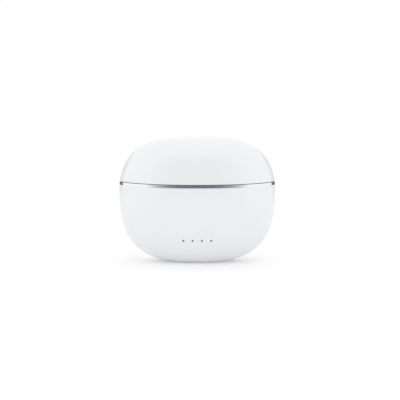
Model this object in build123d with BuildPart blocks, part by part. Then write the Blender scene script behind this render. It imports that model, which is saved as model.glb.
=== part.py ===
from build123d import *
from math import asin, cos, pi, sin, sqrt
import os

# A charging case for two wireless earbuds: a pebble-shaped base with a hinged lid.
# Millimetres, +Z up. The origin is the centre of the flat foot, the front faces -Y and
# the hinge is at the back, along X.

# ---------------------------------------------------------------- driving dimensions
# Outer form: every level is an ellipse, and the front outline is a superellipse.
case_width = 60.0
case_depth = 27.0
case_height = 48.5
rim_height = 30.0            # top of the base shell, where the trim ring sits
ring_height = 1.2            # bright band between base and lid
lid_gap = 0.2                # open seam between trim ring and lid
base_belly_drop = 2.4        # the base outline is upright for this far under the rim
base_exponent = 2.8
foot_cut = 0.4               # how much of the rounded bottom the flat foot takes off
lid_curve_drop = 11.4        # the lid outline's centre lies this far under the lid's edge
lid_flare = 0.39             # and is this much wider than the base there
lid_exponent = 3.12

# Shells
base_wall = 1.4
base_floor = 1.4
lid_wall = 1.3
rim_lip = 0.75               # outer part of the base wall beside the ring's skirt
skirt_depth = 1.2
edge_round = 0.12            # broken edges of the visible seam
fit_gap = 0.1                # between pieces that are put together
move_gap = 0.3               # around pieces that move

# Charge lights
light_height = 9.6
light_pitch = 3.54
light_count = 4
light_radius = 0.35
light_play = 0.03
guide_height = 1.5
guide_wall_gap = 0.2
led_size = (1.0, 0.6, 0.6)

# Wells for the earbuds
well_x = 14.0
pocket_half_width = 8.6
pocket_half_depth = 7.8
pocket_depth = 6.9
pocket_exponent = 3.2
pocket_wall = 1.0
stem_offset = 4.5            # the stem's hole lies this far outside the pocket's centre
stem_radius = 3.6
stem_floor = 10.0
stem_exponent = 6.0
deck_drop = 0.3              # deck under the top of the trim ring
deck_thickness = 1.2
skirt_thickness = 1.0
tray_skirt_depth = 5.5
ledge_width = 1.0
ledge_thickness = 1.0
gasket_thickness = 0.4

# Lid liner: a plate with a hollow over each well
recess_half_width = 8.4
recess_half_depth = 7.6
recess_height = 11.4
recess_exponent = 2.5
recess_wall = 0.9
liner_thickness = 1.0
liner_inset = 0.25           # above the lid's edge

# Spring contacts
contact_x = 9.6
contact_y = 2.0
contact_travel = 0.8
contact_spare = 0.2          # plunger above its barrel when pushed right in
contact_stop_gap = 0.05      # between a pushed piece and what stops it
barrel_radius = 0.9
barrel_bore = 0.65
barrel_length = 3.4
barrel_proud = 0.6           # barrel above the pocket's lowest point
barrel_end = 0.3
barrel_play = 0.02
plunger_tail = 0.6
plunger_tail_length = 1.25
plunger_tip = 0.42
spring_outer = 0.52
spring_inner = 0.4
contact_board_size = (4.4, 7.0, 0.6)
flex_thickness = 0.15
flex_width = 3.0
flex_bend = 0.4

# Magnets
bud_magnet_radius = 1.9
bud_magnet_height = 1.4
bud_magnet_x = 11.0
bud_magnet_y = 5.4
bud_magnet_cup_wall = 0.7
latch_magnet_size = (8.0, 2.5, 2.0)
sensor_magnet_radius = 1.5
sensor_magnet_height = 1.2

# Main board, charge socket and battery
board_width = 22.0
board_thickness = 0.8
board_top = 8.6
board_corner = 3.0
board_wall_gap = 0.55
board_screw_x = 9.0
post_radius = 1.6
socket_width = 8.94
socket_height = 3.26
socket_length = 7.3
socket_wall = 0.3
socket_recess = 0.5
socket_gap = 0.17
tongue_width = 6.69
tongue_thickness = 0.7
tongue_base = 1.6
tongue_recess = 1.1
socket_contacts = 12
socket_contact_size = (0.25, 3.6, 0.05)
socket_contact_pitch = 0.5
frame_gap = 0.14             # battery frame above the charge socket
frame_wall = 0.8
frame_rim = 2.4
frame_leg_radius = 1.0
frame_leg_x = 9.2
frame_leg_y = 6.2
tape_thickness = 0.3
tape_margin = 2.0
battery_size = (23.0, 17.0, 7.1)
battery_round = 1.6
lead_radius = 0.4
lead_pitch = 1.4
battery_plug_size = (2.4, 3.2, 1.3)
battery_plug_x = -9.2
battery_plug_y = -3.2
chip_power = (3.4, 3.4, 0.9)
chip_control = (4.6, 4.6, 0.8)
chip_coil = (2.6, 2.6, 1.4)
chip_filter = (1.6, 0.9, 0.6)
flex_plug_size = (2.6, 3.6, 0.8)
flex_plug_x = 9.3
flex_plug_y = 3.2
deck_flex_x = 2.4
deck_flex_width = 1.8
deck_plug_y = 0.0
chip_places = ((-4.5, -1.0), (5.8, -4.6), (-3.6, -5.2), (-0.6, -4.0))

# Pairing button in the deck, and its board
button_radius = 1.6
button_proud = 0.1
button_travel = 0.3
button_flange = 0.5
button_flange_radius = 2.2
button_play = 0.15
switch_size = 3.0
switch_height = 1.2
switch_stem = 0.75
switch_stem_height = 0.2
deck_board_size = (7.0, 13.4, 0.8)
deck_screw_y = 5.2
deck_post_radius = 1.3
hall_size = (2.9, 1.5, 1.0)
hall_y = 2.6

# Hinge
hinge_half = 10.0            # half the width of the opening in the lid for the hinge
hinge_swing_gap = 0.2        # clear of the knuckles in the lid
knuckle_radius = 1.5
knuckle_gap = 0.15
centre_knuckle_half = 6.0
outer_knuckle_end = 9.8
pin_radius = 0.5
pin_press = 0.01
pin_run = 0.05
pin_chamfer = 0.1
knuckle_dip = 0.1            # knuckles reach this far under the lid's edge
leaf_thickness = 1.0
base_leaf_offset = 1.3       # front of the base leaf, in front of the knuckles
base_leaf_half = 8.0
base_leaf_drop = 7.5
lid_leaf_offset = 1.9
lid_leaf_thickness = 0.8
lid_leaf_rise = 5.7
base_hinge_screw_x = 6.0
base_hinge_screw_drop = 4.2
lid_hinge_screw_x = 7.5
lid_hinge_screw_rise = 4.0

# Small screws: M1.4 with a low head
screw_radius = 0.7
screw_head_radius = 1.2
screw_head_height = 0.6
screw_length = 2.6
screw_play = 0.02
screw_hole_extra = 0.2
driver_slot = (1.3, 0.3, 0.3)

# ---------------------------------------------------------------- derived levels
half_width = case_width / 2
half_depth = case_depth / 2
belly_height = rim_height - base_belly_drop
ring_top = rim_height + ring_height
lid_edge = ring_top + lid_gap
lid_centre = lid_edge - lid_curve_drop
lid_half_width = half_width + lid_flare
lid_half_depth = half_depth * lid_half_width / half_width
deck_top = ring_top - deck_drop
deck_bottom = deck_top - deck_thickness
tray_outset = base_wall + fit_gap
skirt_bottom = deck_top - tray_skirt_depth
ledge_top = skirt_bottom - gasket_thickness
ledge_bottom = ledge_top - ledge_thickness     # the inside is upright above this
pocket_floor = deck_top - pocket_depth
liner_bottom = lid_edge + liner_inset
liner_top = liner_bottom + liner_thickness
stem_x = well_x + stem_offset
barrel_top = pocket_floor + barrel_proud
barrel_bottom = barrel_top - barrel_length
bore_bottom = barrel_bottom + barrel_end
tail_top = barrel_top - barrel_end - contact_stop_gap
tail_bottom = tail_top - plunger_tail_length
contact_reach = contact_travel + contact_spare
contact_board_bottom = barrel_bottom - contact_board_size[2]
magnet_top = pocket_floor - pocket_wall - fit_gap
board_bottom = board_top - board_thickness
socket_z = board_top + socket_height / 2
frame_bottom = board_top + socket_height + frame_gap
tape_bottom = frame_bottom + frame_wall
battery_bottom = tape_bottom + tape_thickness
axis_y = half_depth - knuckle_radius
axis_z = lid_edge + knuckle_radius - knuckle_dip
hinge_swing = knuckle_radius + hinge_swing_gap
base_leaf_y = axis_y - knuckle_radius - base_leaf_offset
lid_leaf_y = axis_y - knuckle_radius - lid_leaf_offset
bridge_y = axis_y - knuckle_radius
flange_bottom = deck_bottom - fit_gap - button_flange
switch_top = flange_bottom - button_travel - contact_stop_gap
deck_board_top = switch_top - switch_stem_height - switch_height
deck_board_bottom = deck_board_top - deck_board_size[2]
sides = (-1, 1)


# ---------------------------------------------------------------- shared geometry
def outline_share(height, centre, pole, exponent):
    """Share of the half width that a superellipse outline keeps at a height."""
    share = max((height - centre) / (pole - centre), 0.0)
    return (1 - share**exponent) ** (1 / exponent)


def ellipse_y(half_x, half_y, share, x):
    """Distance from the XZ plane, at x, of an ellipse shrunk to a share of its size."""
    return half_y * sqrt(share**2 - (x / half_x) ** 2)


def base_outer_y(height, x=0.0):
    """Distance of the base's outer surface from the XZ plane."""
    share = outline_share(height, belly_height, -foot_cut, base_exponent)
    return ellipse_y(half_width, half_depth, share, x)


def base_inner_y(height, x=0.0):
    """Distance of the base's inner surface from the XZ plane."""
    share = outline_share(height, ledge_bottom, base_floor, base_exponent)
    return ellipse_y(half_width - base_wall, half_depth - base_wall, share, x)


def lid_inner_share(height):
    """Share of its half width that the lid's inner surface keeps at a height."""
    return outline_share(height, lid_centre, case_height - lid_wall, lid_exponent)


def lid_inner_y(height, x=0.0):
    """Distance of the lid's inner surface from the XZ plane."""
    share = lid_inner_share(height)
    return ellipse_y(lid_half_width - lid_wall, lid_half_depth - lid_wall, share, x)


def pebble(half_x, half_y, centre, pole, exponent, cut, x=0.0):
    """Solid of elliptic levels, around x, from the level cut to a pole above or below.

    The front outline is the superellipse (x / half_x)^n + (rise / full rise)^n = 1,
    upright from its centre to the cut where the cut is on the far side.
    """
    rise = pole - centre
    start = max((cut - centre) / rise, 0.0)
    first = asin(start ** (exponent / 2))
    count = 14
    angles = [first + (pi / 2 - first) * i / count for i in range(count)]
    points = [
        (half_x * cos(a) ** (2 / exponent), centre + rise * sin(a) ** (2 / exponent))
        for a in angles
    ]
    across = points[0][0] / half_x
    slope = (-half_x * start ** (exponent - 1), rise * across ** (exponent - 1))
    upright = [(half_x, cut)] if start == 0.0 and cut != centre else []
    with BuildPart() as turned:
        with BuildSketch(Plane.XZ):
            with BuildLine():
                curve = Spline(*points, (0, pole), tangents=[slope, (-1, 0)])
                Polyline(curve @ 0, *upright, (0, cut), curve @ 1)
            make_face()
        revolve(axis=Axis.Z)
        scale(by=(1, half_y / half_x, 1))
    return turned.part.moved(Location((x, 0, 0)))


def elliptic_band(bottom, height, outer, inner):
    """Upright elliptic ring, its outer and inner walls set in from the case's side."""
    with BuildPart() as band:
        with BuildSketch(Plane.XY.offset(bottom)):
            Ellipse(half_width - outer, half_depth - outer)
            Ellipse(half_width - inner, half_depth - inner, mode=Mode.SUBTRACT)
        extrude(amount=height)
    return band.part


def rod(origin, direction, radius, length):
    """Round rod or hole from origin along direction."""
    with BuildPart() as turned:
        with BuildSketch(Plane(origin=origin, z_dir=direction)):
            Circle(radius)
        extrude(amount=length)
    return turned.part


def block(x, y, bottom, size):
    """Upright box centred on x, y and standing on the level bottom."""
    with BuildPart() as box:
        with Locations((x, y, bottom)):
            Box(*size, align=(Align.CENTER, Align.CENTER, Align.MIN))
    return box.part


def screw_at(origin, direction):
    """M1.4 screw whose head rests on origin; direction points from shank to head."""
    plane = Plane(origin=origin, z_dir=direction)
    with BuildPart() as screw:
        with BuildSketch(plane):
            Circle(screw_head_radius)
        extrude(amount=screw_head_height)
        with BuildSketch(plane):
            Circle(screw_radius)
        extrude(amount=-screw_length)
        with BuildSketch(plane.offset(screw_head_height)):
            Rectangle(driver_slot[0], driver_slot[1])
            Rectangle(driver_slot[1], driver_slot[0])
        extrude(amount=-driver_slot[2], mode=Mode.SUBTRACT)
    return screw.part


def screw_hole(origin, direction):
    """Hole that a screw's shank turns into; direction points from shank to head."""
    depth = screw_length + screw_hole_extra
    into = [-part for part in direction]
    return rod(origin, into, screw_radius + screw_play, depth)


def ribbon(plane, corners, width):
    """Flat ribbon cable along corners in a plane, its width centred on the plane."""
    with BuildPart() as cable:
        with BuildSketch(plane):
            with BuildLine():
                FilletPolyline(*corners, radius=flex_bend)
            trace(line_width=flex_thickness)
        extrude(amount=width / 2, both=True)
    return cable.part


def write(shape, name):
    """Label a finished piece and write it as parts/NAME.step."""
    shape.label = name
    export_step(shape, f"parts/{name}.step")


def group(shapes):
    """Separate solids that share one node."""
    return Compound(children=list(shapes))


os.makedirs("parts", exist_ok=True)

# ---------------------------------------------------------------- base shell
light_xs = [light_pitch * (i - (light_count - 1) / 2) for i in range(light_count)]
base_screw_z = rim_height - base_hinge_screw_drop
base_leaf_back = base_leaf_y + leaf_thickness
base_outer = pebble(half_width, half_depth, belly_height, -foot_cut, base_exponent, rim_height)

with BuildPart() as base_shell:
    add(base_outer)
    add(
        pebble(
            half_width - base_wall,
            half_depth - base_wall,
            ledge_bottom,
            base_floor,
            base_exponent,
            rim_height,
        ),
        mode=Mode.SUBTRACT,
    )
    split(bisect_by=Plane.XY, keep=Keep.TOP)
    fillet(base_shell.edges().group_by(Axis.Z)[-1].sort_by(SortBy.LENGTH)[-1], edge_round)
    # Rabbet for the skirt of the trim ring
    rabbet = skirt_depth + fit_gap
    add(
        elliptic_band(rim_height - rabbet, rabbet, rim_lip, base_wall + fit_gap),
        mode=Mode.SUBTRACT,
    )
    # Ledge that the inner tray rests on, over its gasket
    add(
        elliptic_band(
            ledge_bottom,
            ledge_thickness,
            base_wall / 2,
            tray_outset + ledge_width,
        )
    )
    # Bosses for the hinge screws, posts for the board screws
    for side in sides:
        boss_x = side * base_hinge_screw_x
        boss_y = base_outer_y(base_screw_z, boss_x) - base_wall / 2
        add(rod((boss_x, base_leaf_back, base_screw_z), (0, 1, 0), post_radius, boss_y - base_leaf_back))
        add(
            rod(
                (side * board_screw_x, 0, base_floor / 2),
                (0, 0, 1),
                post_radius,
                board_bottom - base_floor / 2,
            )
        )
    for side in sides:
        add(
            screw_hole((side * base_hinge_screw_x, base_leaf_y, base_screw_z), (0, -1, 0)),
            mode=Mode.SUBTRACT,
        )
        add(screw_hole((side * board_screw_x, 0, board_top), (0, 0, 1)), mode=Mode.SUBTRACT)
    # Opening for the charge socket, in the back
    with BuildSketch(Plane(origin=(0, 0, socket_z), x_dir=(-1, 0, 0), z_dir=(0, 1, 0))):
        SlotOverall(socket_width + 2 * socket_gap, socket_height + 2 * socket_gap)
    extrude(amount=half_depth, mode=Mode.SUBTRACT)
    # Holes for the tips of the light guide, in the front
    with BuildSketch(Plane(origin=(0, 0, light_height), x_dir=(1, 0, 0), z_dir=(0, -1, 0))):
        with Locations([(x, 0) for x in light_xs]):
            Circle(light_radius + light_play)
    extrude(amount=half_depth, mode=Mode.SUBTRACT)
write(base_shell.part, "base_shell")

# ---------------------------------------------------------------- trim ring and gasket
with BuildPart() as trim_ring:
    add(elliptic_band(rim_height, ring_height, 0, base_wall))
    outer_edges = trim_ring.edges().filter_by(GeomType.ELLIPSE).group_by(SortBy.LENGTH)[-1]
    fillet(outer_edges, edge_round)
    add(elliptic_band(rim_height - skirt_depth, skirt_depth, rim_lip + fit_gap / 2, base_wall))
write(trim_ring.part, "trim_ring")

notch_half = base_leaf_half + move_gap
notch_front = base_leaf_y - move_gap

with BuildPart() as rim_gasket:
    add(elliptic_band(ledge_top, gasket_thickness, tray_outset, tray_outset + skirt_thickness))
    with Locations((0, notch_front, ledge_top)):
        Box(
            2 * notch_half,
            half_depth,
            2 * gasket_thickness,
            align=(Align.CENTER, Align.MIN, Align.CENTER),
            mode=Mode.SUBTRACT,
        )
write(rim_gasket.part, "rim_gasket")

# ---------------------------------------------------------------- inner tray
cup_radius = bud_magnet_radius + bud_magnet_cup_wall
contact_places = [(x * contact_x, y * contact_y) for x in sides for y in sides]
magnet_places = [(x * bud_magnet_x, y * bud_magnet_y) for x in sides for y in sides]

with BuildPart() as inner_tray:
    # Deck and skirt
    with BuildSketch(Plane.XY.offset(deck_bottom)):
        Ellipse(half_width - tray_outset, half_depth - tray_outset)
    extrude(amount=deck_thickness)
    add(
        elliptic_band(
            skirt_bottom,
            deck_bottom - skirt_bottom,
            tray_outset,
            tray_outset + skirt_thickness,
        )
    )
    # Outside of the two wells
    for side in sides:
        add(
            pebble(
                pocket_half_width + pocket_wall,
                pocket_half_depth + pocket_wall,
                deck_top,
                pocket_floor - pocket_wall,
                pocket_exponent,
                deck_top,
                side * well_x,
            )
        )
        add(
            pebble(
                stem_radius + pocket_wall,
                stem_radius + pocket_wall,
                deck_top,
                stem_floor - pocket_wall,
                stem_exponent,
                deck_top,
                side * stem_x,
            )
        )
    # Cups for the earbud magnets
    for x, y in magnet_places:
        add(rod((x, y, barrel_bottom), (0, 0, 1), cup_radius, pocket_floor - barrel_bottom))
    # Posts for the small board under the deck
    for side in sides:
        add(
            rod(
                (0, side * deck_screw_y, deck_board_top),
                (0, 0, 1),
                deck_post_radius,
                deck_bottom - deck_board_top,
            )
        )
    # Inside of the two wells
    for side in sides:
        add(
            pebble(
                pocket_half_width,
                pocket_half_depth,
                deck_top,
                pocket_floor,
                pocket_exponent,
                deck_top,
                side * well_x,
            ),
            mode=Mode.SUBTRACT,
        )
        add(
            pebble(
                stem_radius,
                stem_radius,
                deck_top,
                stem_floor,
                stem_exponent,
                deck_top,
                side * stem_x,
            ),
            mode=Mode.SUBTRACT,
        )
    # Seats of magnets and contacts, screw holes, the button's hole
    for x, y in magnet_places:
        add(
            rod(
                (x, y, barrel_bottom),
                (0, 0, 1),
                bud_magnet_radius + fit_gap / 2,
                magnet_top - barrel_bottom,
            ),
            mode=Mode.SUBTRACT,
        )
    for x, y in contact_places:
        add(
            rod((x, y, barrel_bottom), (0, 0, 1), barrel_radius + barrel_play, barrel_length),
            mode=Mode.SUBTRACT,
        )
    for side in sides:
        add(
            screw_hole((0, side * deck_screw_y, deck_board_bottom), (0, 0, -1)),
            mode=Mode.SUBTRACT,
        )
    add(
        rod((0, 0, deck_bottom), (0, 0, 1), button_radius + button_play, deck_thickness),
        mode=Mode.SUBTRACT,
    )
    # Opening for the hinge at the back
    with Locations((0, notch_front, skirt_bottom)):
        Box(
            2 * notch_half,
            half_depth,
            deck_top - skirt_bottom,
            align=(Align.CENTER, Align.MIN, Align.MIN),
            mode=Mode.SUBTRACT,
        )
write(inner_tray.part, "inner_tray")

# ---------------------------------------------------------------- main board and its parts
board_half_y = base_inner_y(board_bottom, board_width / 2 - board_corner) - board_wall_gap

with BuildPart() as main_board:
    with BuildSketch(Plane.XY.offset(board_bottom)):
        RectangleRounded(board_width, 2 * board_half_y, board_corner)
        with Locations([(side * board_screw_x, 0) for side in sides]):
            Circle(screw_radius + fit_gap, mode=Mode.SUBTRACT)
    extrude(amount=board_thickness)
write(main_board.part, "main_board")

led_front = -board_half_y + led_size[1] / 2
write(
    group(block(x, led_front + led_size[1] / 2, board_top, led_size) for x in light_xs),
    "charge_leds",
)

guide_width = light_xs[-1] - light_xs[0] + 2 * led_size[0]
guide_back = led_front - contact_stop_gap
guide_front = guide_wall_gap - base_inner_y(board_top, guide_width / 2)

with BuildPart() as light_guide:
    with Locations((0, guide_front, board_top)):
        Box(
            guide_width,
            guide_back - guide_front,
            guide_height,
            align=(Align.CENTER, Align.MIN, Align.MIN),
        )
    for x in light_xs:
        add(rod((x, guide_front, light_height), (0, -1, 0), light_radius, half_depth + guide_front))
    add(base_outer, mode=Mode.INTERSECT)
write(light_guide.part, "light_guide")

socket_front = base_outer_y(board_top, socket_width / 2) - socket_recess
socket_back = socket_front - socket_length
socket_plane = Plane(origin=(0, socket_back, socket_z), x_dir=(-1, 0, 0), z_dir=(0, 1, 0))
tongue_end = socket_length - tongue_recess

with BuildPart() as usb_shell:
    with BuildSketch(socket_plane):
        SlotOverall(socket_width, socket_height)
    extrude(amount=socket_length)
    with BuildSketch(socket_plane.offset(socket_wall)):
        SlotOverall(socket_width - 2 * socket_wall, socket_height - 2 * socket_wall)
    extrude(amount=socket_length, mode=Mode.SUBTRACT)
write(usb_shell.part, "usb_shell")

with BuildPart() as usb_tongue:
    with BuildSketch(socket_plane.offset(socket_wall)):
        SlotOverall(socket_width - 2 * socket_wall, socket_height - 2 * socket_wall)
    extrude(amount=tongue_base)
    with BuildSketch(socket_plane.offset(socket_wall)):
        Rectangle(tongue_width, tongue_thickness)
    extrude(amount=tongue_end - socket_wall)
    tip_edges = usb_tongue.edges().group_by(Axis.Y)[-1].filter_by(Axis.X)
    chamfer(tip_edges, tongue_thickness / 5)
write(usb_tongue.part, "usb_tongue")

contact_middle = socket_back + tongue_end - tongue_thickness / 2 - socket_contact_size[1] / 2
contact_xs = [
    socket_contact_pitch * (i - (socket_contacts - 1) / 2) for i in range(socket_contacts)
]
contact_levels = [
    socket_z + tongue_thickness / 2,
    socket_z - tongue_thickness / 2 - socket_contact_size[2],
]
write(
    group(
        block(x, contact_middle, level, socket_contact_size)
        for x in contact_xs
        for level in contact_levels
    ),
    "usb_contacts",
)

chips = [
    block(x, y, board_top, size)
    for (x, y), size in zip(chip_places, (chip_power, chip_control, chip_coil, chip_filter))
]
chips.append(block(0, 0, board_bottom - chip_control[2], chip_control))
write(group(chips), "board_chips")

flex_plugs = [
    block(side * flex_plug_x, flex_plug_y, board_top, flex_plug_size) for side in sides
]
flex_plugs.append(block(deck_flex_x, deck_plug_y, board_top, flex_plug_size))
write(group(flex_plugs), "flex_plugs")
write(
    group(screw_at((side * board_screw_x, 0, board_top), (0, 0, 1)) for side in sides),
    "board_screws",
)

# ---------------------------------------------------------------- battery
frame_half_x = battery_size[0] / 2 + fit_gap + frame_wall
frame_half_y = battery_size[1] / 2 + fit_gap + frame_wall
frame_corner = battery_round + fit_gap + frame_wall

with BuildPart() as battery_frame:
    with BuildSketch(Plane.XY.offset(frame_bottom)):
        RectangleRounded(2 * frame_half_x, 2 * frame_half_y, frame_corner)
    extrude(amount=frame_wall + frame_rim)
    with BuildSketch(Plane.XY.offset(tape_bottom)):
        RectangleRounded(
            battery_size[0] + 2 * fit_gap,
            battery_size[1] + 2 * fit_gap,
            battery_round + fit_gap,
        )
    extrude(amount=frame_rim, mode=Mode.SUBTRACT)
    with BuildSketch(Plane.XY.offset(board_top)):
        with Locations([(x * frame_leg_x, y * frame_leg_y) for x in sides for y in sides]):
            Circle(frame_leg_radius)
    extrude(amount=frame_bottom - board_top)
write(battery_frame.part, "battery_frame")

with BuildPart() as battery_tape:
    with BuildSketch(Plane.XY.offset(tape_bottom)):
        RectangleRounded(
            battery_size[0] - 2 * tape_margin,
            battery_size[1] - 2 * tape_margin,
            battery_round,
        )
    extrude(amount=tape_thickness)
write(battery_tape.part, "battery_tape")

with BuildPart() as battery_cell:
    with BuildSketch(Plane.XY.offset(battery_bottom)):
        RectangleRounded(battery_size[0], battery_size[1], battery_round)
    extrude(amount=battery_size[2])
    fillet(battery_cell.faces().sort_by(Axis.Z)[-1].edges(), battery_round / 2)
write(battery_cell.part, "battery_cell")

lead_level = board_top + battery_plug_size[2] / 2
lead_drop_x = -frame_half_x - 2 * lead_radius
plug_edge = battery_plug_x - battery_plug_size[0] / 2


def battery_lead(y):
    """Wire from the left of the cell, over the frame's edge, down to its plug."""
    top = tape_bottom + frame_rim + 2 * lead_radius
    with BuildPart() as lead:
        with BuildLine() as route:
            FilletPolyline(
                (-battery_size[0] / 2, y, top),
                (lead_drop_x, y, top),
                (lead_drop_x, y, lead_level),
                (plug_edge, y, lead_level),
                radius=2 * lead_radius,
            )
        with BuildSketch(Plane(origin=route.line @ 0, z_dir=route.line % 0)):
            Circle(lead_radius)
        sweep(path=route.line)
    return lead.part


write(
    group(battery_lead(battery_plug_y + side * lead_pitch / 2) for side in sides),
    "battery_leads",
)
write(block(battery_plug_x, battery_plug_y, board_top, battery_plug_size), "battery_plug")

# ---------------------------------------------------------------- spring contacts
spring_length = tail_bottom - bore_bottom


def contact_barrel(x, y):
    """Closed brass tube that holds a plunger and its spring."""
    with BuildPart() as barrel:
        with BuildSketch(Plane.XY.offset(barrel_bottom)):
            with Locations((x, y)):
                Circle(barrel_radius)
        extrude(amount=barrel_length)
        with BuildSketch(Plane.XY.offset(bore_bottom)):
            with Locations((x, y)):
                Circle(barrel_bore)
        extrude(amount=barrel_length - 2 * barrel_end, mode=Mode.SUBTRACT)
        with BuildSketch(Plane.XY.offset(barrel_top - barrel_end)):
            with Locations((x, y)):
                Circle(plunger_tip + pin_run)
        extrude(amount=barrel_end, mode=Mode.SUBTRACT)
    return barrel.part


def contact_plunger(x, y):
    """Pin with a wide tail under the barrel's lip and a rounded tip."""
    with BuildPart() as plunger:
        with BuildSketch(Plane.XY.offset(tail_bottom)):
            with Locations((x, y)):
                Circle(plunger_tail)
        extrude(amount=plunger_tail_length)
        with BuildSketch(Plane.XY.offset(tail_top)):
            with Locations((x, y)):
                Circle(plunger_tip)
        extrude(amount=barrel_top + contact_reach - tail_top)
        fillet(plunger.edges().group_by(Axis.Z)[-1], plunger_tip * 0.8)
    return plunger.part


def contact_spring(x, y):
    """Closed solid of the space that the spring's turns take."""
    with BuildPart() as spring:
        with BuildSketch(Plane.XY.offset(bore_bottom)):
            with Locations((x, y)):
                Circle(spring_outer)
                Circle(spring_inner, mode=Mode.SUBTRACT)
        extrude(amount=spring_length)
    return spring.part


place_names = [
    f"{side}_{end}" for side in ("left", "right") for end in ("front", "back")
]
for name, (x, y) in zip(place_names, contact_places):
    write(contact_barrel(x, y), f"contact_barrel_{name}")
    write(contact_plunger(x, y), f"contact_plunger_{name}")
    write(contact_spring(x, y), f"contact_spring_{name}")
for name, (x, y) in zip(place_names, magnet_places):
    magnet = rod((x, y, magnet_top), (0, 0, -1), bud_magnet_radius, bud_magnet_height)
    write(magnet, f"bud_magnet_{name}")

flex_drop_x = (frame_half_x + stem_x - stem_radius - pocket_wall) / 2
flex_top = contact_board_bottom - flex_thickness / 2
flex_level = board_top + flex_plug_size[2] + flex_thickness / 2
for name, side in zip(("left", "right"), sides):
    board = block(side * contact_x, 0, contact_board_bottom, contact_board_size)
    write(board, f"contact_board_{name}")
    flex_corners = [
        (side * contact_x, flex_top),
        (side * flex_drop_x, flex_top),
        (side * flex_drop_x, flex_level),
        (side * (flex_plug_x - flex_plug_size[0] / 2), flex_level),
    ]
    flex_plane = Plane.XZ.offset(-flex_plug_y)
    write(ribbon(flex_plane, flex_corners, flex_width), f"contact_flex_{name}")

# ---------------------------------------------------------------- button and deck board
with BuildPart() as pair_button:
    with BuildSketch(Plane.XY.offset(flange_bottom)):
        Circle(button_flange_radius)
    extrude(amount=button_flange)
    with BuildSketch(Plane.XY.offset(flange_bottom + button_flange)):
        Circle(button_radius)
    extrude(amount=deck_top + button_proud - flange_bottom - button_flange)
    fillet(pair_button.edges().group_by(Axis.Z)[-1], button_proud)
write(pair_button.part, "pair_button")

with BuildPart() as deck_board:
    with BuildSketch(Plane.XY.offset(deck_board_bottom)):
        RectangleRounded(deck_board_size[0], deck_board_size[1], edge_round * 4)
        with Locations([(0, side * deck_screw_y) for side in sides]):
            Circle(screw_radius + fit_gap, mode=Mode.SUBTRACT)
    extrude(amount=deck_board_size[2])
write(deck_board.part, "deck_board")

with BuildPart() as tact_switch:
    with BuildSketch(Plane.XY.offset(deck_board_top)):
        RectangleRounded(switch_size, switch_size, edge_round * 2)
    extrude(amount=switch_height)
    with BuildSketch(Plane.XY.offset(deck_board_top + switch_height)):
        Circle(switch_stem)
    extrude(amount=switch_stem_height)
write(tact_switch.part, "tact_switch")
write(block(0, hall_y, deck_board_top, hall_size), "hall_sensor")
write(
    group(screw_at((0, side * deck_screw_y, deck_board_bottom), (0, 0, -1)) for side in sides),
    "deck_board_screws",
)

deck_flex_drop_y = -frame_half_y - 2 * flex_bend
deck_flex_under = (board_top + guide_height + frame_bottom) / 2
deck_flex_corners = [
    (0, deck_board_bottom - flex_thickness / 2),
    (deck_flex_drop_y, deck_board_bottom - flex_thickness / 2),
    (deck_flex_drop_y, deck_flex_under),
    (led_front + 4 * led_size[1], deck_flex_under),
    (led_front + 4 * led_size[1], flex_level),
    (deck_plug_y, flex_level),
]
write(ribbon(Plane.YZ.offset(deck_flex_x), deck_flex_corners, deck_flex_width), "deck_flex")

# ---------------------------------------------------------------- latch and sensor magnets
skirt_inset = tray_outset + skirt_thickness
skirt_inner_y = ellipse_y(
    half_width - skirt_inset, half_depth - skirt_inset, 1.0, latch_magnet_size[0] / 2
)
latch_y = latch_magnet_size[1] / 2 + move_gap - skirt_inner_y
write(
    block(0, latch_y, deck_bottom - latch_magnet_size[2], latch_magnet_size),
    "latch_magnet_base",
)
write(block(0, latch_y, liner_top, latch_magnet_size), "latch_magnet_lid")
write(
    rod((0, hall_y, liner_top), (0, 0, 1), sensor_magnet_radius, sensor_magnet_height),
    "sensor_magnet",
)

# ---------------------------------------------------------------- hinge
lid_screw_z = axis_z + lid_hinge_screw_rise
lid_leaf_back = lid_leaf_y + lid_leaf_thickness
strap_top = axis_z + knuckle_radius
strap_bottom = strap_top - leaf_thickness
leaf_hole = screw_radius + fit_gap


def knuckle(start, end):
    """Round knuckle on the hinge axis between two places across the case."""
    return rod((start, axis_y, axis_z), (1, 0, 0), knuckle_radius, end - start)


def slab(low, high):
    """Upright box between two opposite corners."""
    size = [b - a for a, b in zip(low, high)]
    with BuildPart() as box:
        with Locations(low):
            Box(*size, align=(Align.MIN, Align.MIN, Align.MIN))
    return box.part


with BuildPart() as hinge_base_bracket:
    add(
        slab(
            (-base_leaf_half, base_leaf_y, rim_height - base_leaf_drop),
            (base_leaf_half, base_leaf_back, deck_top),
        )
    )
    add(
        slab(
            (-base_leaf_half, base_leaf_y, deck_top - leaf_thickness),
            (base_leaf_half, bridge_y + leaf_thickness, deck_top),
        )
    )
    add(
        slab(
            (-centre_knuckle_half, bridge_y, deck_top - leaf_thickness),
            (centre_knuckle_half, bridge_y + leaf_thickness, axis_z),
        )
    )
    add(knuckle(-centre_knuckle_half, centre_knuckle_half))
    add(
        rod((-half_width, axis_y, axis_z), (1, 0, 0), pin_radius + pin_run, case_width),
        mode=Mode.SUBTRACT,
    )
    for side in sides:
        add(
            rod(
                (side * base_hinge_screw_x, base_leaf_y, base_screw_z),
                (0, 1, 0),
                leaf_hole,
                leaf_thickness,
            ),
            mode=Mode.SUBTRACT,
        )
write(hinge_base_bracket.part, "hinge_base_bracket")

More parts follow.
